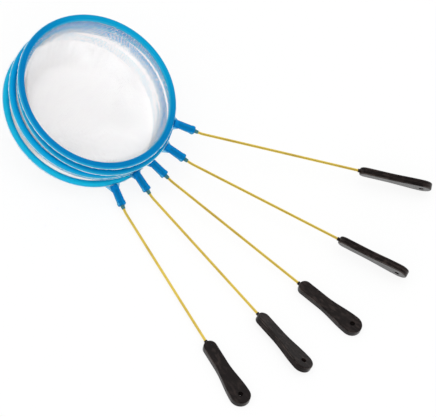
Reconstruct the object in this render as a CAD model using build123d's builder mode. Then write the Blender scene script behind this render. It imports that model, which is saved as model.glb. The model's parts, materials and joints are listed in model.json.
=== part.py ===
from build123d import *
import os
from collections import namedtuple
from math import asin, cos, hypot, radians, sin, sqrt

# A set of five small aquarium nets, nested hoop on hoop with their handles fanned out.
# Each net is a plastic hoop in two halves that pinch the rim of a mesh bag, a bent wire
# and a flat grip that turns on the end of the wire. Millimetres, Z up, handles towards +X.

# Rim of the hoop, a ring of round section split at its middle plane
HOOP_OD = 100.0
RIM_D = 4.2

# Netting: its thickness, and how far its cut edge stands out of the rim's seam
MESH_T = 0.5
MESH_PROUD = 0.3

# Mesh bag: how far under its rim it is drawn in, its room inside the rims of the nets below
# it, and how much smaller its flat bottom is than its neck
BAG_NECK_DROP = 4.0
BAG_RIM_CLEARANCE = 1.25
BAG_TAPER = 6.0

# Socket on the hoop: a round barrel that widens to a lip and a nipple at its mouth, and two
# webs at its root
BARREL_D = 4.6
BARREL_MOUTH_D = 4.9
BARREL_REACH = 13.5
BARREL_LIP_RISE = 0.2
BARREL_LIP_L = 2.0
BARREL_CHAMFER = 0.5
BARREL_ROOT_GAP = 0.3
BARREL_LINK_D = 3.6
NIPPLE_L = 2.5
NIPPLE_ROOT_D = 2.6
NIPPLE_TIP_D = 2.1
SOCKET_DEPTH = 10.0
WEB_T = 1.0
WEB_SPAN = 6.0
WEB_REACH = 5.0
WEB_SEAM_GAP = 0.3

# Wire: bent once just past the nipple, then straight to the grip
WIRE_D = 1.6
WIRE_BEND_LEAD = 5.0
WIRE_BEND_R = 12.0
WIRE_SHOWN = 104.0
BEAD_D = 2.4
BEAD_L = 2.0

# Grip: a paddle with straight sides in front that widens towards its hang hole
GRIP_L = 45.5
GRIP_STRAIGHT_END = 17.0
GRIP_T = 4.4
GRIP_FRONT_W = 8.2
GRIP_END_W = 12.3
GRIP_EDGE_R = 0.8
HANG_HOLE_D = 3.0
GRIP_NECK_L = 1.2
GRIP_NECK_D = 2.6
GRIP_NECK_TIP_D = 2.2
GRIP_BORE_L = 12.0

# Clearances of the grip on its wire, round it and along it
TURN_CLEARANCE = 0.05
BEAD_END_CLEARANCE = 0.2

# The stack: hoops lie parallel, low on the handles' side and propped up by the bags behind
STACK_TILT = 17.5
STACK_GAP = 0.4
LOWEST_HOOP_Z = 21.0

# How each net lies in the set, the top one first: its hoop's shift in the stack, its socket's
# turn round the hoop, its wire's bearing on the table and its grip's roll about the wire
Lay = namedtuple("Lay", "name along across socket bearing roll")
LAYS = [
    Lay(name="net1", along=-0.7, across=1.8, socket=29.0, bearing=34.0, roll=-65.0),
    Lay(name="net2", along=1.4, across=1.4, socket=14.0, bearing=14.0, roll=-68.0),
    Lay(name="net3", along=-0.7, across=-1.3, socket=3.0, bearing=0.0, roll=0.0),
    Lay(name="net4", along=-0.2, across=1.2, socket=-11.5, bearing=-11.5, roll=-20.0),
    Lay(name="net5", along=0.1, across=-3.1, socket=-23.5, bearing=-22.0, roll=0.0),
]

# Sizes that follow from the ones above
RIM_R = RIM_D / 2
RIM_MID_R = HOOP_OD / 2 - RIM_R
RIM_INNER_R = HOOP_OD / 2 - RIM_D
SEAM = MESH_T / 2
LARGEST_SHIFT = max(hypot(lay.along, lay.across) for lay in LAYS)
BAG_NECK_R = RIM_INNER_R - LARGEST_SHIFT - BAG_RIM_CLEARANCE
BAG_BOTTOM_R = BAG_NECK_R - BAG_TAPER
BARREL_R = BARREL_D / 2
BARREL_MOUTH_R = BARREL_MOUTH_D / 2
BARREL_LIP_R = BARREL_MOUTH_R + BARREL_LIP_RISE
BARREL_END = HOOP_OD / 2 + BARREL_REACH
BARREL_LIP_START = BARREL_END - BARREL_LIP_L
BARREL_ROOT = HOOP_OD / 2 + MESH_PROUD + BARREL_ROOT_GAP
WIRE_R = WIRE_D / 2
PITCH = RIM_D + STACK_GAP
GRIP_END_R = GRIP_END_W / 2
GRIP_EYE = GRIP_L - GRIP_END_R
BEAD_AT = GRIP_BORE_L - BEAD_L - BEAD_END_CLEARANCE
UP = Vector(0, 0, 1)
STACK_UP = Vector(sin(radians(STACK_TILT)), 0, cos(radians(STACK_TILT)))
STACK_X = Vector(cos(radians(STACK_TILT)), 0, -sin(radians(STACK_TILT)))
STACK_Y = Vector(0, 1, 0)


class Pose:
    """Where one net's pieces are: its hoop's plane, its socket, its wire and its grip."""

    def __init__(self, lay, level):
        self.axis_point = Vector(0, 0, LOWEST_HOOP_Z) + STACK_UP * (PITCH * level)
        centre = self.axis_point + STACK_X * lay.along + STACK_Y * lay.across
        turn = radians(lay.socket)
        self.outward = STACK_X * cos(turn) + STACK_Y * sin(turn)
        self.hoop = Plane(centre, x_dir=self.outward, z_dir=STACK_UP)
        self.bend = centre + self.outward * (BARREL_END + WIRE_BEND_LEAD)
        self.run = self.straight_run(lay)
        grip_start = self.bend + self.run * (WIRE_SHOWN - WIRE_BEND_LEAD)
        level_up = (UP - self.run * UP.dot(self.run)).normalized()
        face = level_up.rotate(Axis((0, 0, 0), self.run), lay.roll)
        self.grip = Plane(grip_start, x_dir=self.run, z_dir=face)

    def straight_run(self, lay):
        """Direction of the wire past its bend, so that the grip's round end rests on the table."""
        length = WIRE_SHOWN - WIRE_BEND_LEAD + GRIP_EYE
        bearing = radians(lay.bearing)
        slope = 0.0
        for _ in range(6):
            face_z = cos(radians(lay.roll)) * cos(slope)
            eye_z = GRIP_END_R * sqrt(1 - face_z ** 2) + GRIP_T / 2 * face_z
            slope = asin((eye_z - self.bend.Z) / length)
        return Vector(cos(bearing) * cos(slope), sin(bearing) * cos(slope), sin(slope))

    def across_socket(self, distance):
        """Plane square to the socket's axis, a distance out from the hoop's centre."""
        return Plane(self.hoop.origin + self.outward * distance, x_dir=self.hoop.y_dir,
                     z_dir=self.outward)

    def along_socket(self):
        """Plane through the hoop's centre with X out along the socket and Y up the stack."""
        return Plane(self.hoop.origin, x_dir=self.outward, z_dir=-self.hoop.y_dir)

    def behind_socket(self):
        """Plane through the hoop's centre with X away from the socket and Y up the stack."""
        return Plane(self.hoop.origin, x_dir=-self.outward, z_dir=self.hoop.y_dir)

    def across_wire(self, distance):
        """Plane square to the straight wire, a distance past the grip's front."""
        return Plane(self.grip.origin + self.run * distance, x_dir=self.grip.y_dir, z_dir=self.run)


def rim_half(pose, side):
    """Half of the rim's section on one side of the seam, turned round the hoop's axis."""
    middle = side * (SEAM + RIM_R)
    with BuildSketch(pose.behind_socket()) as section:
        with Locations((RIM_MID_R, 0)):
            Circle(RIM_R)
        with Locations((RIM_MID_R, middle)):
            Rectangle(2 * RIM_D, RIM_D, mode=Mode.INTERSECT)
    revolve(section.sketch, axis=Axis(pose.hoop.origin, STACK_UP))


def make_hoop(pose):
    """Lower half of the rim with the socket for the wire, one moulding."""
    with BuildPart() as hoop:
        rim_half(pose, -1)
        # A half-round link runs in under the seam, from the barrel to the rim
        with BuildSketch(pose.across_socket(RIM_MID_R)):
            Circle(BARREL_LINK_D / 2)
            with Locations((0, -SEAM - BARREL_R)):
                Rectangle(2 * BARREL_D, BARREL_D, mode=Mode.INTERSECT)
        extrude(amount=BARREL_ROOT - RIM_MID_R)
        # Barrel, lip and nipple, turned round the socket's axis
        with BuildSketch(pose.along_socket()) as profile:
            with BuildLine():
                Polyline(
                    (BARREL_ROOT, 0),
                    (BARREL_ROOT, BARREL_R),
                    (BARREL_LIP_START - BARREL_LIP_RISE, BARREL_MOUTH_R),
                    (BARREL_LIP_START, BARREL_LIP_R),
                    (BARREL_END - BARREL_CHAMFER, BARREL_LIP_R),
                    (BARREL_END, BARREL_LIP_R - BARREL_CHAMFER),
                    (BARREL_END, NIPPLE_ROOT_D / 2),
                    (BARREL_END + NIPPLE_L, NIPPLE_TIP_D / 2),
                    (BARREL_END + NIPPLE_L, 0),
                    close=True,
                )
            make_face()
        revolve(profile.sketch, axis=Axis(pose.hoop.origin, pose.outward))
        # Webs on both sides of the barrel, below the seam
        with BuildSketch(pose.hoop.offset(-SEAM - WEB_SEAM_GAP - WEB_T)):
            Polygon(
                (RIM_MID_R, -WEB_SPAN),
                (BARREL_ROOT + WEB_REACH, -WIRE_R),
                (BARREL_ROOT + WEB_REACH, WIRE_R),
                (RIM_MID_R, WEB_SPAN),
                align=None,
            )
        extrude(amount=WEB_T)
        # Blind hole that the wire is moulded into
        with BuildSketch(pose.across_socket(BARREL_END - SOCKET_DEPTH)):
            Circle(WIRE_R)
        extrude(amount=SOCKET_DEPTH + NIPPLE_L, mode=Mode.SUBTRACT)
    return hoop.part


def make_clamp_ring(pose):
    """Upper half of the rim, welded on over the netting."""
    with BuildPart() as ring:
        rim_half(pose, 1)
    return ring.part


def make_mesh_bag(pose):
    """Bag of netting: a flat rim in the seam, a drawn-in neck and a bottom flat on the table."""
    rim = Plane(pose.hoop.origin, x_dir=STACK_X, z_dir=STACK_UP)
    neck = Plane(pose.axis_point - STACK_UP * BAG_NECK_DROP, x_dir=STACK_X, z_dir=STACK_UP)
    to_table = LOWEST_HOOP_Z / STACK_UP.Z
    bottom = Plane(pose.axis_point - STACK_UP * to_table, x_dir=(1, 0, 0), z_dir=UP)
    with BuildPart() as bag:
        with BuildSketch(rim):
            Circle(RIM_INNER_R)
        with BuildSketch(neck):
            Circle(BAG_NECK_R)
        with BuildSketch(bottom):
            Circle(BAG_BOTTOM_R)
        loft(ruled=True)
        with BuildSketch(rim):
            Circle(RIM_INNER_R - MESH_T)
        with BuildSketch(neck):
            Circle(BAG_NECK_R - MESH_T)
        with BuildSketch(bottom.offset(MESH_T)):
            Circle(BAG_BOTTOM_R - MESH_T)
        loft(ruled=True, mode=Mode.SUBTRACT)
        with BuildSketch(rim):
            Circle(HOOP_OD / 2 + MESH_PROUD)
            Circle(RIM_INNER_R - MESH_T, mode=Mode.SUBTRACT)
        extrude(amount=SEAM, both=True)
    return bag.part


def make_wire(pose):
    """Wire from the bottom of its socket, round its bend, to a bead inside the grip."""
    start = pose.hoop.origin + pose.outward * (BARREL_END - SOCKET_DEPTH)
    end = pose.grip.origin + pose.run * (BEAD_AT + BEAD_L)
    with BuildPart() as wire:
        with BuildLine() as route:
            FilletPolyline(start, pose.bend, end, radius=WIRE_BEND_R)
        with BuildSketch(pose.across_socket(BARREL_END - SOCKET_DEPTH)):
            Circle(WIRE_R)
        sweep(path=route.line)
        with BuildSketch(pose.across_wire(BEAD_AT)):
            Circle(BEAD_D / 2)
        extrude(amount=BEAD_L)
    return wire.part


def make_grip(pose):
    """Paddle with rounded edges, a hang hole and a short neck, free to turn on the wire."""
    front_r = GRIP_FRONT_W / 2
    with BuildPart() as grip:
        with BuildSketch(pose.grip):
            with BuildLine():
                front = ThreePointArc((front_r, -front_r), (0, 0), (front_r, front_r))
                Line(front @ 1, (GRIP_STRAIGHT_END, front_r))
                Spline((GRIP_STRAIGHT_END, front_r), (GRIP_EYE, GRIP_END_R), tangents=((1, 0), (1, 0)))
                ThreePointArc((GRIP_EYE, GRIP_END_R), (GRIP_L, 0), (GRIP_EYE, -GRIP_END_R))
                Spline((GRIP_EYE, -GRIP_END_R), (GRIP_STRAIGHT_END, -front_r), tangents=((-1, 0), (-1, 0)))
                Line((GRIP_STRAIGHT_END, -front_r), front @ 0)
            make_face()
        extrude(amount=GRIP_T / 2, both=True)
        faces = grip.faces().sort_by(Axis(pose.grip.origin, pose.grip.z_dir))
        fillet(faces[0].edges() + faces[-1].edges(), radius=GRIP_EDGE_R)
        # Hang hole, in the middle of the round end
        eye = pose.grip.origin + pose.run * GRIP_EYE
        with BuildSketch(Plane(eye, x_dir=pose.run, z_dir=pose.grip.z_dir)):
            Circle(HANG_HOLE_D / 2)
        extrude(amount=GRIP_T, both=True, mode=Mode.SUBTRACT)
        # Neck round the wire, run back into the paddle
        with BuildSketch(pose.across_wire(-GRIP_NECK_L)):
            Circle(GRIP_NECK_TIP_D / 2)
        with BuildSketch(pose.across_wire(front_r)):
            Circle(GRIP_NECK_D / 2)
        loft()
        # Bore for the wire and the pocket that keeps its bead
        with BuildSketch(pose.across_wire(-GRIP_NECK_L)):
            Circle(WIRE_R + TURN_CLEARANCE)
        extrude(amount=GRIP_NECK_L + GRIP_BORE_L, mode=Mode.SUBTRACT)
        with BuildSketch(pose.across_wire(BEAD_AT - BEAD_END_CLEARANCE)):
            Circle(BEAD_D / 2 + TURN_CLEARANCE)
        extrude(amount=BEAD_L + 2 * BEAD_END_CLEARANCE, mode=Mode.SUBTRACT)
    return grip.part


MAKERS = {
    "hoop": make_hoop,
    "clamp_ring": make_clamp_ring,
    "mesh_bag": make_mesh_bag,
    "wire": make_wire,
    "grip": make_grip,
}

poses = {}
pieces = {}
for level, lay in enumerate(reversed(LAYS)):
    poses[lay.name] = Pose(lay, level)
    for kind, make in MAKERS.items():
        pieces[f"{lay.name}_{kind}"] = make(poses[lay.name])

# The set stands on Z = 0, with the middle of its footprint at the origin
box = Compound(list(pieces.values())).bounding_box()
SHIFT = Vector(-box.center().X, -box.center().Y, -box.min.Z)

os.makedirs("parts", exist_ok=True)
for name, piece in pieces.items():
    placed = Pos(SHIFT) * piece
    placed.label = name
    export_step(placed, f"parts/{name}.step")
print(f"{len(pieces)} pieces, {box.size.X:.1f} x {box.size.Y:.1f} x {box.size.Z:.1f} mm")
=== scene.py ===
# %% [markdown]
# # Five aquarium nets, nested and fanned out
# The set is five small nets: blue plastic hoops, white bags of netting, brass wires and black
# grips. The hard pieces come from the CAD model as they are, and here they only get their
# finishes. The bags are soft, so each one is made new as a single sheet of netting.

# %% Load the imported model
import json
import math
import bpy
import numpy as np
from mathutils import Matrix, Vector


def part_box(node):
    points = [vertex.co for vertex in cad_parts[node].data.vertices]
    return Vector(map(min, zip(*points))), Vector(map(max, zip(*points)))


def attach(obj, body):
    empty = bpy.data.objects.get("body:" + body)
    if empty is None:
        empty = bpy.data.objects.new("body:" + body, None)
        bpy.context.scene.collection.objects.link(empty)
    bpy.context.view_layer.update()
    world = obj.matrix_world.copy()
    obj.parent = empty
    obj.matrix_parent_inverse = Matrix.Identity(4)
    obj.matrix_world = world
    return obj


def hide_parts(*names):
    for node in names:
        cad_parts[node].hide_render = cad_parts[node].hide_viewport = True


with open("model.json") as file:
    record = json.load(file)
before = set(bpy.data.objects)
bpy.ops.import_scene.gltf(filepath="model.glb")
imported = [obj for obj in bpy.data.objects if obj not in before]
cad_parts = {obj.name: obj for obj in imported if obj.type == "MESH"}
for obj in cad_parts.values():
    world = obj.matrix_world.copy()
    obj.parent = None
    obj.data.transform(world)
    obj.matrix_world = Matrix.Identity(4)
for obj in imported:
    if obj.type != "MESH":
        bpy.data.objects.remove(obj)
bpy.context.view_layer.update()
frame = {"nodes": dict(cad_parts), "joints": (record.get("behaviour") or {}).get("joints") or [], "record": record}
MM = 0.001
NETS = ["net1", "net2", "net3", "net4", "net5"]

# %% [markdown]
# ## Camera
# The set was photographed from a good way off with a long lens, so its circles stay nearly
# true ellipses. The picture is 436 pixels wide, and a focal length of 3000 of those pixels
# gives the lens on a 36 mm sensor. The camera is turned a little about its own axis, which a
# plain look-at can't give, so its three axes are worked out as vectors and put in a matrix.

# %% Camera
IMAGE_W, FOCAL_PIXELS, SENSOR = 436, 3000, 36
DISTANCE, CLIP_END = 1785 * MM, 50
look_at = Vector((14.6, -1.2, 0.0)) * MM
heading, drop, roll = (math.radians(a) for a in (115.57, 52.98, 16.10))
flat_heading = Vector((math.cos(heading), math.sin(heading), 0))
forward = math.cos(drop) * flat_heading - math.sin(drop) * Vector((0, 0, 1))
level = forward.cross(Vector((0, 0, 1))).normalized()
above = level.cross(forward)
right = math.cos(roll) * level + math.sin(roll) * above
upward = math.cos(roll) * above - math.sin(roll) * level

camera = bpy.data.objects.new("camera", bpy.data.cameras.new("camera"))
camera.data.sensor_width = SENSOR
camera.data.lens = FOCAL_PIXELS * SENSOR / IMAGE_W
camera.data.clip_end = CLIP_END
turned = Matrix((right, upward, -forward)).transposed().to_4x4()
camera.matrix_world = Matrix.Translation(look_at - DISTANCE * forward) @ turned
scene = bpy.context.scene
scene.collection.objects.link(camera)
scene.camera = camera
scene.view_settings.view_transform = "Standard"
print("lens, mm:", round(camera.data.lens, 1))

# %% [markdown]
# ## A short way to write shaders
# A node tree is a sum written with boxes and wires. It is easier to read as a sum, so Value
# wraps an output of a node and turns + - * / into Math nodes. Any other node comes from
# Finish.node, which sets the node's own settings first and then feeds its sockets.

# %% Values that can be added and multiplied
class Value:
    """One output of a shader node. Arithmetic on it adds Math nodes to its finish."""

    def __init__(self, finish, socket):
        self.finish = finish
        self.socket = socket

    def math(self, operation, *terms):
        return self.finish.node("ShaderNodeMath", {"operation": operation}, dict(enumerate(terms)))

    def __add__(self, other):
        return self.math("ADD", self, other)

    def __sub__(self, other):
        return self.math("SUBTRACT", self, other)

    def __rsub__(self, other):
        return self.math("SUBTRACT", other, self)

    def __mul__(self, other):
        return self.math("MULTIPLY", self, other)

    def __pow__(self, other):
        return self.math("POWER", self, other)

    def __abs__(self):
        return self.math("ABSOLUTE", self)

    __radd__ = __add__
    __rmul__ = __mul__

    def rise(self, low, high):
        """0 up to low, 1 from high, and a smooth step between them."""
        return self.finish.node("ShaderNodeMapRange", {"interpolation_type": "SMOOTHSTEP"},
                                {"Value": self, "From Min": low, "From Max": high})


# %% A finish, to which any node can be added
class Finish:
    """A node tree that is being written, with one method for every node that isn't arithmetic."""

    def __init__(self, tree):
        self.tree = tree

    def node(self, kind, settings=None, inlets=None, outlet=0):
        made = self.tree.nodes.new(kind)
        for name, value in (settings or {}).items():
            setattr(made, name, value)
        for key, value in (inlets or {}).items():
            self.feed(made.inputs[key], value)
        return Value(self, made.outputs[outlet]) if made.outputs else None

    def feed(self, socket, value):
        if isinstance(value, Value):
            self.tree.links.new(value.socket, socket)
        else:
            socket.default_value = value

    def blend(self, share, first, second):
        """One colour going over to another."""
        return self.node("ShaderNodeMix", {"data_type": "RGBA"},
                         {0: share, 6: first, 7: second}, 2)

    def noise(self, place, scale, detail=2.0):
        return self.node("ShaderNodeTexNoise", None,
                         {"Vector": place, "Scale": scale, "Detail": detail})

    def along(self, place, origin, axis):
        """How far a place is from the origin, measured along an axis."""
        reach = self.node("ShaderNodeVectorMath", {"operation": "DOT_PRODUCT"},
                          {0: place, 1: axis}, "Value")
        return reach - origin.dot(axis)

    def squeeze(self, place, origin, axis, share):
        """A place with a share of its reach along an axis taken out. A noise on it is drawn out."""
        shift = self.node("ShaderNodeVectorMath", {"operation": "SCALE"},
                          {0: axis, "Scale": self.along(place, origin, axis) * share})
        return self.node("ShaderNodeVectorMath", {"operation": "SUBTRACT"}, {0: place, 1: shift})

    def bump(self, height, depth):
        """A normal that is tilted as if the surface had this height, in metres of depth."""
        return self.node("ShaderNodeBump", None,
                         {"Height": height, "Distance": depth, "Strength": 1.0})


def new_surface(name, **uniform):
    """A material with one Principled shader, and what is the same all over it set at once."""
    material = bpy.data.materials.new(name)
    material.use_nodes = True
    shader = material.node_tree.nodes["Principled BSDF"]
    for socket, value in uniform.items():
        shader.inputs[socket.replace("_", " ")].default_value = value
    finish = Finish(material.node_tree)
    return material, shader.inputs, finish, finish.node("ShaderNodeTexCoord", outlet="Object")


def screen(red, green, blue):
    """A colour as a screen shows it, 0 to 255, as the linear light that a shader takes."""
    return tuple((c / 255) ** 2.2 for c in (red, green, blue)) + (1.0,)


WHITE = screen(255, 255, 255)
ORIGIN = Vector((0, 0, 0))


def dress(node, material):
    """Gives a CAD node's object its finish."""
    frame["nodes"][node].data.materials.clear()
    frame["nodes"][node].data.materials.append(material)


print("shader helpers are ready")

# %% [markdown]
# ## Floor, sky and lamp
# The picture has a plain white ground. The floor glows white to the camera, and to rays that
# come off shiny things or through clear ones, while for all other light it is an ordinary pale
# floor. A small share of that ordinary floor stays in the camera's view too, so the faint
# shadow under the nets is kept. The light is a soft sky that is brighter on the near side, so it
# reaches into the bags, with one wide lamp overhead. A sky that is white all round would also put
# a grey veil on the dark grips, so shiny surfaces that face the near side see a dimmer room there.

# %% Floor
SEEN_GLOW, PAPER_GREY = 0.86, (0.9, 0.9, 0.9, 1.0)
HALF_FLOOR = 6.0


def seen_directly(finish):
    """1 for rays from the camera, off shiny surfaces and through clear ones, and else 0."""
    camera_ray, glossy_ray, clear_ray = (
        finish.node("ShaderNodeLightPath", outlet=f"Is {kind} Ray")
        for kind in ("Camera", "Glossy", "Transmission"))
    either = camera_ray.math("MAXIMUM", camera_ray, glossy_ray)
    return either.math("MAXIMUM", either, clear_ray)


paper = bpy.data.materials.new("white_paper")
paper.use_nodes = True
paper.node_tree.nodes.clear()
ground = Finish(paper.node_tree)
pale = ground.node("ShaderNodeBsdfDiffuse", None, {"Color": PAPER_GREY})
glow = ground.node("ShaderNodeEmission", None, {"Color": WHITE, "Strength": 1.0})
both = ground.node("ShaderNodeMixShader", None,
                   {0: seen_directly(ground) * SEEN_GLOW, 1: pale, 2: glow})
ground.node("ShaderNodeOutputMaterial", None, {"Surface": both})

mesh = bpy.data.meshes.new("floor")
CORNERS = ((-1, -1), (1, -1), (1, 1), (-1, 1))
mesh.from_pydata([(x * HALF_FLOOR, y * HALF_FLOOR, 0) for x, y in CORNERS], [], [(0, 1, 2, 3)])
mesh.materials.append(paper)
floor = bpy.data.objects.new("floor", mesh)
scene.collection.objects.link(floor)
print("floor, m:", 2 * HALF_FLOOR)

# %% Sky and lamp
BACK_LIGHT, FRONT_LIGHT, SHOWN_LIGHT, ROOM_LIGHT = 0.62, 1.38, 1.0, 0.2
ROOM_FROM, ROOM_FULL = math.cos(math.radians(60)), math.cos(math.radians(25))
LAMP_PLACE, LAMP_SIZE, LAMP_WATTS = (0.1, -0.2, 1.6), 1.6, 3.0
world = bpy.data.worlds.new("sky")
world.use_nodes = True
world.node_tree.nodes.clear()
sky = Finish(world.node_tree)
behind, in_front, shown, dim = (
    sky.node("ShaderNodeBackground", None, {"Color": WHITE, "Strength": level})
    for level in (BACK_LIGHT, FRONT_LIGHT, SHOWN_LIGHT, ROOM_LIGHT))
way = sky.node("ShaderNodeTexCoord", outlet="Generated")
to_camera = sky.along(way, ORIGIN, -forward)
lit = sky.node("ShaderNodeMixShader", None, {0: to_camera.rise(0.0, 1.0), 1: behind, 2: in_front})
either = sky.node("ShaderNodeMixShader", None, {0: seen_directly(sky), 1: lit, 2: shown})
room = to_camera.rise(ROOM_FROM, ROOM_FULL)
off_shiny = sky.node("ShaderNodeLightPath", outlet="Is Glossy Ray")
all_round = sky.node("ShaderNodeMixShader", None, {0: room * off_shiny, 1: either, 2: dim})
sky.node("ShaderNodeOutputWorld", None, {"Surface": all_round})
scene.world = world


def soft_lamp(name, place, size, watts):
    """A square lamp that faces the middle of the set."""
    lamp = bpy.data.objects.new(name, bpy.data.lights.new(name, "AREA"))
    lamp.data.size = size
    lamp.data.energy = watts
    lamp.location = place
    lamp.rotation_mode = "QUATERNION"
    lamp.rotation_quaternion = (-Vector(place)).to_track_quat("-Z", "Y")
    scene.collection.objects.link(lamp)


soft_lamp("key_lamp", LAMP_PLACE, LAMP_SIZE, LAMP_WATTS)
print("sky strength, far side and near side:", BACK_LIGHT, FRONT_LIGHT)

# %% [markdown]
# ## Where the hoops are
# Every hoop lies in the same tilted plane, one above the other. A finish or a sheet that
# follows a hoop needs its middle, its upward axis and the way its socket points. These could
# be typed in again from the CAD, but it is safer to measure them on the CAD meshes.

# %% Measure the hoops
MESH_EDGE_R, SEAM = 50.3 * MM, 0.25 * MM
TIP_BAND, FLOOR_BAND = 0.1 * MM, 0.01 * MM
stack_up = Vector(next(j for j in frame["joints"] if j["name"] == "net1_lift")["axis"])
stack_x = Vector((stack_up.z, 0, -stack_up.x))
stack_y = Vector((0, 1, 0))


def points(node):
    return np.array([v.co for v in frame["nodes"][node].data.vertices])


hoop_middle, socket_way, bag_floor = {}, {}, {}
for net in NETS:
    low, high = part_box(f"{net}_mesh_bag")
    top = high.z - MESH_EDGE_R * stack_up.x - SEAM * stack_up.z
    hoop_middle[net] = Vector(((low.x + high.x) / 2, (low.y + high.y) / 2, top))
    spread = points(f"{net}_hoop") - np.array(hoop_middle[net])
    reach = np.linalg.norm(spread, axis=1)
    tip = Vector(spread[reach > reach.max() - TIP_BAND].mean(0))
    socket_way[net] = (tip - stack_up * tip.dot(stack_up)).normalized()
    lowest = points(f"{net}_mesh_bag")
    lowest = lowest[lowest[:, 2] < low.z + FLOOR_BAND]
    bag_floor[net] = Vector((lowest.min(0) + lowest.max(0)) / 2)
    turn = math.degrees(math.atan2(socket_way[net].dot(stack_y), socket_way[net].dot(stack_x)))
    middle_mm = [round(c / MM, 2) for c in hoop_middle[net]]
    print(net, "middle, mm:", middle_mm, "socket:", round(turn, 1))

# %% [markdown]
# ## Blue plastic
# The hoops are moulded in a slightly clear blue plastic. Part of the light goes through it,
# which is the shader's transmission, with a low index so that the colour stays deep. The light that
# goes through thin or thick plastic is also painted into the colour. A rim is thinnest at its inner
# and outer edge and has painted light there, the barrels are solid and have painted shade, and the
# webs beside them are nearly a film and have painted light. All these are told apart by how far a place
# is from the hoop's middle. In the picture the five hoops differ a little in colour, and the top
# one goes from deep blue on its near side to a lighter blue on its far side. The shades copy that as
# painted light: how much light comes through each hoop, and more through the top hoop's far side.
# They are in the colour, so they stay with a hoop when its net is lifted. The nipple at a barrel's
# end is painted teal as shade, where the wire inside darkens it.

# %% Hoops and clamp rings
# Painted light and shade: thin rim edges and webs are painted lighter, barrels and nipples darker.
THIN_EDGE_PAINTED_LIGHT, BARREL_PAINTED_SHADE = screen(56, 204, 240), screen(0, 137, 208)
WEB_PAINTED_LIGHT, NIPPLE_PAINTED_SHADE = screen(110, 200, 238), screen(84, 146, 152)
# Each hoop's blue carries painted light: how much light comes through that hoop.
BLUES_WITH_PAINTED_LIGHT = {"net1": (0, 150, 216), "net2": (0, 166, 226), "net3": (4, 190, 248),
          "net4": (0, 174, 232), "net5": (34, 216, 250)}
# Painted light on the top hoop's far side, where more light comes through it.
FAR_SIDE_PAINTED_LIGHT = {"net1": (10, 180, 227)}
PAINTED_LIGHT_TURN = math.radians(105)
PAINTED_LIGHT_WAY = math.cos(PAINTED_LIGHT_TURN) * stack_x + math.sin(PAINTED_LIGHT_TURN) * stack_y
PLASTIC_IOR, CLEARNESS, WEB_CLEARNESS = 1.12, 0.45, 0.3
CLOUDS, CLOUD_RANGE, CLOUD_SHADE = 45, (0.3, 0.75), 0.93
GRAIN, GRAIN_DEPTH = 900, 0.04 * MM
BLUE_ROUGH, ROUGH_BY_GRAIN, ROUGH_BY_CLOUD = 0.26, 0.16, 0.1
RIM_MID_R, BARREL_R, BARREL_END = 47.9 * MM, 2.3 * MM, 63.5 * MM
THIN_RANGE, PAST_RIM_RANGE = (1.2 * MM, 2.1 * MM), (50.0 * MM, 50.6 * MM)
WEB_FADE, NIPPLE_FADE = 0.2 * MM, 0.4 * MM

for net in NETS:
    material, inlets, finish, place = new_surface(f"{net}_blue_plastic", IOR=PLASTIC_IOR,
                                                  Transmission_Weight=CLEARNESS)
    middle, out = hoop_middle[net], socket_way[net]
    ahead = finish.along(place, middle, out)
    aside = abs(finish.along(place, middle, stack_up.cross(out)))
    from_middle = (ahead * ahead + aside * aside) ** 0.5
    thin = abs(from_middle - RIM_MID_R).rise(*THIN_RANGE)
    past_rim = from_middle.rise(*PAST_RIM_RANGE)
    in_web = past_rim * aside.rise(BARREL_R, BARREL_R + WEB_FADE)
    cloud, grain = finish.noise(place, CLOUDS, 3), finish.noise(place, GRAIN, 2)
    blue_with_painted_light = screen(*BLUES_WITH_PAINTED_LIGHT[net])
    clouded_blue = tuple(CLOUD_SHADE * c for c in blue_with_painted_light)
    tint = finish.blend(cloud.rise(*CLOUD_RANGE), blue_with_painted_light, clouded_blue)
    # Painted light: the top hoop's blue goes lighter towards its far side.
    painted_light_side = finish.along(place, middle, PAINTED_LIGHT_WAY).rise(0.0, RIM_MID_R)
    tint = finish.blend(painted_light_side, tint, screen(*FAR_SIDE_PAINTED_LIGHT.get(net, BLUES_WITH_PAINTED_LIGHT[net])))
    # Painted light at the thin rim edges and in the webs, painted shade in the barrels and the nipple.
    tint = finish.blend(thin, tint, THIN_EDGE_PAINTED_LIGHT)
    tint = finish.blend(past_rim, tint, BARREL_PAINTED_SHADE)
    in_nipple = ahead.rise(BARREL_END, BARREL_END + NIPPLE_FADE)
    tint = finish.blend(in_nipple, tint, NIPPLE_PAINTED_SHADE)
    finish.feed(inlets["Base Color"], finish.blend(in_web, tint, WEB_PAINTED_LIGHT))
    finish.feed(inlets["Roughness"], BLUE_ROUGH + ROUGH_BY_GRAIN * grain + ROUGH_BY_CLOUD * cloud)
    finish.feed(inlets["Normal"], finish.bump(grain, GRAIN_DEPTH))
    finish.feed(inlets["Alpha"], 1 - WEB_CLEARNESS * in_web)
    dress(f"{net}_hoop", material)
    dress(f"{net}_clamp_ring", material)
print("hoops and clamp rings dressed:", len(NETS))

# %% [markdown]
# ## Brass wire
# The wires are drawn brass, bright but not polished. Drawing leaves fine lines along the wire,
# so the grain is a noise that is stretched along each wire's own direction, and a slow change
# of colour stands for handling and a little tarnish.

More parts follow.
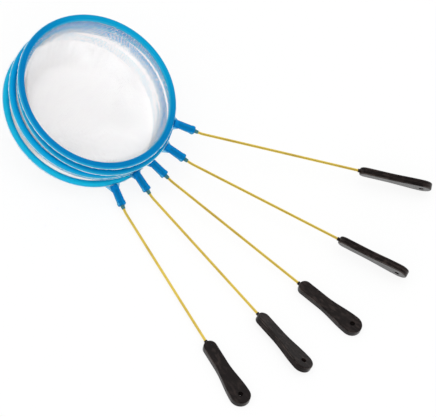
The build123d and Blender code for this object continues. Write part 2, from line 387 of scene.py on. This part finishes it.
# %% Wires
BRASS, DULL_BRASS = screen(232, 204, 96), screen(214, 184, 86)
DRAWN_LINES, LINE_SQUEEZE, LINE_DEPTH = 2600, 0.93, 0.012 * MM
TARNISH, TARNISH_RANGE = 70, (0.42, 0.75)
WIRE_ROUGH, ROUGH_BY_LINES, ROUGH_BY_TARNISH = 0.34, 0.12, 0.08
joints = {j["name"]: j for j in frame["joints"]}
for net in NETS:
    run = Vector(joints[f"{net}_grip_turn"]["axis"])
    material, inlets, finish, place = new_surface(f"{net}_brass", Metallic=1.0)
    lines = finish.noise(finish.squeeze(place, ORIGIN, run, LINE_SQUEEZE), DRAWN_LINES, 2)
    tarnish = finish.noise(place, TARNISH, 3)
    tint = finish.blend(tarnish.rise(*TARNISH_RANGE), BRASS, DULL_BRASS)
    finish.feed(inlets["Base Color"], tint)
    finish.feed(inlets["Roughness"], WIRE_ROUGH + ROUGH_BY_LINES * lines + ROUGH_BY_TARNISH * tarnish)
    finish.feed(inlets["Normal"], finish.bump(lines, LINE_DEPTH))
    dress(f"{net}_wire", material)
print("wires dressed:", len(NETS))

# %% [markdown]
# ## Black grips
# The grips are moulded in black plastic with a satin skin. The two halves of the mould leave a
# fine line round the middle of the edge, and the rounded edges are rubbed a little grey by
# hands. The grey on the edges and on that line is partly this wear and partly a painted highlight,
# where light would catch them. Both follow how far a place is from the grip's middle plane, so the
# shader measures that along the hang hole's axis, which is square to the faces. Handling also wears
# the black in patches, a little longer than wide, which are paler and shinier. They are a stretched
# noise that changes both the colour and how much of a clear coat the black has. The coat's index is
# low, so a face seen at a slant mirrors the table and one seen from above stays black.

# %% Grips
# The grey of the edges is partly wear and partly a painted highlight.
BLACK, SCUFFED, WEAR_AND_HIGHLIGHT_GREY = screen(20, 12, 11), screen(45, 35, 32), screen(96, 88, 84)
HALF_T, HOLE_R, HOLE_EDGE_R = 2.2 * MM, 1.5 * MM, 1.65 * MM
SKIN, SKIN_HEIGHT, MARK_DEPTH = 1500, 0.3, 0.06 * MM
SMEARS, SMEAR_RANGE, WEAR_AND_HIGHLIGHT_RANGE = 120, (0.3, 0.6), (0.35, 0.65)
SCUFFS, SCUFF_SQUEEZE, SCUFF_RANGE = 620, 0.6, (0.4, 0.75)
EDGE_FROM, EDGE_TO = (0.68 * HALF_T, 0.82 * HALF_T), (0.86 * HALF_T, 0.97 * HALF_T)
MOULD_LINE_RANGE = (0.05 * MM, 0.16 * MM)
EDGE_WEAR_AND_HIGHLIGHT, MOULD_LINE_WEAR_AND_HIGHLIGHT = 0.5, 0.1
GRIP_ROUGH, ROUGH_BY_SCUFFS, ROUGH_BY_SKIN, ROUGH_IN_HOLE = 0.3, 0.1, 0.06, 0.5
COAT, COAT_BY_SCUFFS, COAT_INDEX = 0.45, 0.5, 1.25
holes = {m["name"]: m for m in frame["record"]["mounts"]}
for net in NETS:
    start = Vector(joints[f"{net}_grip_turn"]["pos_m"])
    face = Vector(holes[f"{net}_hang_hole"]["axis"])
    eye = Vector(holes[f"{net}_hang_hole"]["pos_m"])
    run = Vector(joints[f"{net}_grip_turn"]["axis"])
    material, inlets, finish, place = new_surface(f"{net}_black_grip", Specular_IOR_Level=0.1,
                                                  Coat_Roughness=0.1, Coat_IOR=COAT_INDEX)
    off_middle = abs(finish.along(place, start, face))
    ahead = finish.along(place, eye, run)
    aside = finish.along(place, eye, face.cross(run))
    in_hole = 1 - ((ahead * ahead + aside * aside) ** 0.5).rise(HOLE_R, HOLE_EDGE_R)
    skin = finish.noise(place, SKIN, 2)
    smears = finish.noise(place, SMEARS, 4)
    drawn_out = finish.noise(finish.squeeze(place, start, run, SCUFF_SQUEEZE), SCUFFS, 4)
    scuffs = drawn_out.rise(*SCUFF_RANGE) * smears.rise(*SMEAR_RANGE)
    edge = off_middle.rise(*EDGE_FROM) * (1 - off_middle.rise(*EDGE_TO))
    mould_line = 1 - off_middle.rise(*MOULD_LINE_RANGE)
    # Painted highlight and wear: the rounded edges and the mould line are painted lighter grey.
    wear_and_highlight = edge * smears.rise(*WEAR_AND_HIGHLIGHT_RANGE) * EDGE_WEAR_AND_HIGHLIGHT + mould_line * MOULD_LINE_WEAR_AND_HIGHLIGHT
    worn_black = finish.blend(scuffs, BLACK, SCUFFED)
    finish.feed(inlets["Base Color"], finish.blend(wear_and_highlight * (1 - in_hole), worn_black, WEAR_AND_HIGHLIGHT_GREY))
    outside_rough = GRIP_ROUGH + ROUGH_BY_SCUFFS * scuffs + ROUGH_BY_SKIN * skin
    finish.feed(inlets["Roughness"], outside_rough + ROUGH_IN_HOLE * in_hole)
    finish.feed(inlets["Coat Weight"], (COAT + COAT_BY_SCUFFS * scuffs) * (1 - in_hole))
    finish.feed(inlets["Normal"], finish.bump(skin * SKIN_HEIGHT + mould_line, MARK_DEPTH))
    dress(f"{net}_grip", material)
print("grips dressed:", len(NETS))

# %% [markdown]
# ## Netting
# The bags are fine white netting with six-sided holes about a millimetre wide. Modelling every
# thread would take millions of faces, so the threads are a mask on the sheet's Alpha. Three
# waves that cross at 120 degrees add up to a honeycomb: their sum is high in the holes and low
# on the threads. The waves run on the sheet's UVs, which are the netting laid flat, so
# the holes crowd together where the cloth is gathered, as real netting does. Close under the hoop
# the netting is pulled tight and its holes are wide, so hoops behind it show through. Lower down
# the threads close up. How far down the holes stay wide, and how wide they are, is set for each
# bag by how much shows through it in the picture. In the seam the netting is welded flat and
# white, so that strip has its own finish.

# %% Netting finish
HOLE_PITCH = 1.05 * MM
OPEN = {net: (12 * MM, 24 * MM) for net in NETS}
OPEN["net1"] = (2 * MM, 7 * MM)
PULL = {"net1": 1.6, "net2": 1.6, "net3": 1.6, "net4": 1.75, "net5": 2.15}
BUNCHES, BUNCH_RANGE, BUNCH_PULL = 90, (0.3, 0.7), 0.5
SWAYS, SWAY = 60, 0.9
THREAD_RANGE, THREAD_DEPTH = (0.5, 0.9), 0.02 * MM
WEAR, WEAR_RANGE = 30, (0.35, 0.7)
CLEAN_WHITE, WORN_WHITE = screen(255, 253, 252), screen(253, 250, 250)
FLAT_D = 160 * MM
WAVE_NUMBER = 4 * math.pi / (math.sqrt(3) * HOLE_PITCH)


def netting_for(net):
    """Netting that is stretched open under its hoop and closes up where it is gathered below."""
    material, inlets, finish, place = new_surface(f"{net}_netting", Roughness=0.62, IOR=1.5)
    uv = finish.node("ShaderNodeTexCoord", outlet="UV")
    sway = finish.noise(uv, SWAYS, 2) * SWAY
    waves = 0.0
    for turn in (0, 120, 240):
        direction = Vector((math.cos(math.radians(turn)), math.sin(math.radians(turn)), 0))
        reach = finish.along(uv, ORIGIN, direction)
        waves = waves + reach.math("COSINE", reach * (WAVE_NUMBER * FLAT_D) + sway)
    stretched = 1 - finish.along(place, hoop_middle[net], -stack_up).rise(*OPEN[net])
    bunched = finish.noise(uv, BUNCHES, 1).rise(*BUNCH_RANGE)
    pull = PULL[net] + BUNCH_PULL - bunched
    thread = 1 - (waves + pull * stretched).rise(*THREAD_RANGE)
    worn = finish.noise(uv, WEAR, 3)
    tint = finish.blend(worn.rise(*WEAR_RANGE), CLEAN_WHITE, WORN_WHITE)
    finish.feed(inlets["Base Color"], tint)
    finish.feed(inlets["Alpha"], thread)
    finish.feed(inlets["Normal"], finish.bump(1 - waves, THREAD_DEPTH))
    return material


netting = {net: netting_for(net) for net in NETS}
print("holes are", round(HOLE_PITCH / MM, 2), "mm apart")

# %% Hem, where the netting is welded flat in the seam
FLECKS, FLECK_BLUE = 900, screen(225, 240, 250)
hem, inlets, finish, place = new_surface("netting_hem", Roughness=0.5)
flecks = finish.noise(place, FLECKS)
finish.feed(inlets["Base Color"], finish.blend(flecks, WHITE, FLECK_BLUE))
print("hem is ready")

# %% [markdown]
# ## Bags
# A bag is a sheet with its rim pinched between the two halves of the hoop. From there it is
# drawn in under the hoop, runs down as a wall and lies flat on the bag below. A sheet like that
# could be simulated as cloth, but the five bags lie in each other a few millimetres apart
# and would tangle, so each is lofted: one profile for every direction round the hoop, rounded
# by cutting its corners, with folds added by moving points along the surface's normal. Each bag
# keeps clear of the hoops below its own, because they are a little out of line with it.

# %% The profile round the hoop
RIM_INNER_R, NECK_DROP = 45.8 * MM, 4.5 * MM
FLOOR_IN, FLOOR_LIFT = 10.0 * MM, 2.0 * MM
ROOM, LAYER, HEM_FROM = 0.9 * MM, 0.35 * MM, 49.7 * MM
CUT_EDGE_R, RAGGED = 50.2 * MM, 0.15 * MM
SEAM_RINGS = (49.6 * MM, 48.0 * MM, 46.4 * MM)
LEAVES_RIM_IN, LEAVES_RIM_DROP = 0.4 * MM, 0.1 * MM
FLOOR_RINGS, CORNER_CUTS = (0.66, 0.4, 0.2, 0.1, 0.012), 3
AROUND, STATIONS = 240, 64
turns = np.linspace(0, 2 * math.pi, AROUND, endpoint=False)


def circle(middle, radius, x_axis, y_axis):
    """Points round a circle. The radius may differ from point to point."""
    radius = np.broadcast_to(radius, turns.shape)[:, None]
    ring = np.cos(turns)[:, None] * np.array(x_axis) + np.sin(turns)[:, None] * np.array(y_axis)
    return np.array(middle) + radius * ring


def room_inside(net):
    """How far out the netting can go from the bag's middle, clear of each hoop from its own down."""
    below = NETS[NETS.index(net):]
    limits = []
    for hoop in below:
        off = hoop_middle[hoop] - bag_floor[hoop]
        sideways = off.dot(stack_x) * np.cos(turns) + off.dot(stack_y) * np.sin(turns)
        limits.append(RIM_INNER_R + sideways)
    return np.min(limits, 0) - ROOM - LAYER * (len(below) - 1)


def cut_corners(line):
    """Each corner of a line of rings is replaced by two points nearer to it."""
    near = 0.75 * line[:-1] + 0.25 * line[1:]
    far = 0.25 * line[:-1] + 0.75 * line[1:]
    inside = np.stack([near, far], 1).reshape(-1, *line.shape[1:])
    return np.concatenate([line[:1], inside, line[-1:]])


def evenly(line, count):
    """The same line with its points evenly spaced, and how far along the line they are."""
    steps = np.linalg.norm(np.diff(line, axis=0), axis=2)
    run = np.concatenate([np.zeros((1, AROUND)), np.cumsum(steps, 0)])
    spaced = np.zeros((count, AROUND, 3))
    for i in range(AROUND):
        at = np.linspace(0, run[-1, i], count)
        spaced[:, i] = np.stack([np.interp(at, run[:, i], line[:, i, k]) for k in range(3)], 1)
    return spaced, run[-1]


print("points in a bag:", AROUND * STATIONS)

# %% Folds
GATHER_HEIGHT, CREASE_WIDTH, CREASE_COUNT = 0.6 * MM, 1.3 * MM, 14
GATHER_SHARES, GATHER_FADE = [0.0, 0.1, 0.2, 0.5, 0.75, 1.0], [0.0, 0.0, 1.0, 0.45, 0.0, 0.0]
CREASED_R, CREASE_FADE = 36 * MM, 6 * MM
rng = np.random.default_rng(7)
FOLDS = [(int(n), rng.uniform(0, 2 * math.pi), rng.uniform(0.5, 1.0))
         for n in rng.integers(17, 61, 9)]
CREASES = [(math.radians(rng.uniform(195, 340)), rng.uniform(22, 34) * MM, rng.uniform(-0.9, 0.9),
            rng.uniform(4, 12) * MM, rng.uniform(0.2, 0.5) * MM) for _ in range(CREASE_COUNT)]


def gathers(share):
    """Small upright folds of the wall: none at the rim, most at the neck, fewer at the floor."""
    wave = sum(size * np.cos(count * turns + phase) for count, phase, size in FOLDS) / len(FOLDS)
    return GATHER_HEIGHT * np.interp(share, GATHER_SHARES, GATHER_FADE) * wave


def creases(x, y):
    """Soft ridges here and there in the flat of the bag."""
    height = np.zeros_like(x)
    for turn, reach, slant, length, tall in CREASES:
        heading = turn + math.pi / 2 + slant
        dx, dy = x - reach * math.cos(turn), y - reach * math.sin(turn)
        lengthways = dx * math.cos(heading) + dy * math.sin(heading)
        sideways = dy * math.cos(heading) - dx * math.sin(heading)
        height += tall * np.exp(-(lengthways / length) ** 2 - (sideways / CREASE_WIDTH) ** 2)
    return height


print("folds:", len(FOLDS), "creases:", len(CREASES))


# %% One bag
def make_bag(net, seed):
    """Rings of points from the cut edge in the seam to the middle of the floor, and their run."""
    jitter = np.random.default_rng(seed).uniform(-1, 1, AROUND)
    rim, ground_mid = hoop_middle[net], bag_floor[net]
    depth = (rim - ground_mid).dot(stack_up)
    neck_mid = ground_mid + stack_up * (depth - NECK_DROP)
    flat_x, flat_y = Vector((1, 0, 0)), Vector((0, 1, 0))
    rings = [circle(rim, CUT_EDGE_R + RAGGED * jitter, stack_x, stack_y)]
    rings += [circle(rim, r, stack_x, stack_y) for r in SEAM_RINGS]
    leaves_rim = rim - stack_up * LEAVES_RIM_DROP
    rings.append(circle(leaves_rim, RIM_INNER_R - LEAVES_RIM_IN, stack_x, stack_y))
    reach = room_inside(net)
    neck = circle(neck_mid, reach, stack_x, stack_y)
    floor_r = reach - FLOOR_IN
    ledge = circle(ground_mid + Vector((0, 0, FLOOR_LIFT)), floor_r, flat_x, flat_y)
    rings += [neck, 0.5 * (neck + ledge), ledge]
    rings += [circle(ground_mid, share * floor_r, flat_x, flat_y) for share in FLOOR_RINGS]
    line = np.stack(rings)
    for _ in range(CORNER_CUTS):
        line = cut_corners(line)
    return evenly(line, STATIONS)


def surface_normals(line):
    """Upward normals of a sheet, from its steps along and round it."""
    down = np.gradient(line, axis=0)
    round_it = (np.roll(line, -1, 1) - np.roll(line, 1, 1)) / 2
    normal = np.cross(down, round_it)
    normal /= np.linalg.norm(normal, axis=2, keepdims=True)
    return normal * np.sign(normal @ np.array(stack_up))[:, :, None]


def fold_bag(line, floor_mid):
    """Moves the wall's points into gathers and lifts creases from the floor."""
    share = np.linspace(0, 1, STATIONS)[:, None]
    lift = gathers(share)
    x, y = line[:, :, 0] - floor_mid.x, line[:, :, 1] - floor_mid.y
    on_floor = np.clip((CREASED_R - np.hypot(x, y)) / CREASE_FADE, 0, 1)
    lift = lift + creases(x, y) * on_floor
    return line + surface_normals(line) * lift[:, :, None]


# %% Sheets from the profiles
def sheet_object(net, line, run):
    """A mesh of the rings of points, with UVs that are the netting laid flat."""
    verts = line.reshape(-1, 3)
    quads = []
    for start in range(0, (STATIONS - 1) * AROUND, AROUND):
        below = start + AROUND
        for i in range(AROUND):
            j = (i + 1) % AROUND
            quads.append((start + i, below + i, below + j, start + j))
    left = np.linspace(1, 0, STATIONS)[:, None] * run[None, :]
    flat = np.stack([left * np.cos(turns), left * np.sin(turns)], 2).reshape(-1, 2)
    flat = flat / FLAT_D + 0.5
    mesh = bpy.data.meshes.new(f"{net}_bag")
    mesh.from_pydata(verts.tolist(), [], quads)
    layer = mesh.uv_layers.new(name="laid_flat")
    index = np.zeros(len(mesh.loops), int)
    mesh.loops.foreach_get("vertex_index", index)
    layer.data.foreach_set("uv", flat[index].ravel())
    mesh.polygons.foreach_set("use_smooth", [True] * len(mesh.polygons))
    mesh.materials.append(netting[net])
    mesh.materials.append(hem)
    from_middle = np.linalg.norm(line - np.array(hoop_middle[net]), axis=2)
    in_seam = from_middle[:-1].ravel() > HEM_FROM
    mesh.polygons.foreach_set("material_index", in_seam.astype(int))
    piece = bpy.data.objects.new(f"{net}_bag", mesh)
    scene.collection.objects.link(piece)
    return piece


for seed, net in enumerate(NETS):
    line, run = make_bag(net, seed)
    bag = sheet_object(net, fold_bag(line, bag_floor[net]), run)
    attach(bag, net)
    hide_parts(f"{net}_mesh_bag")
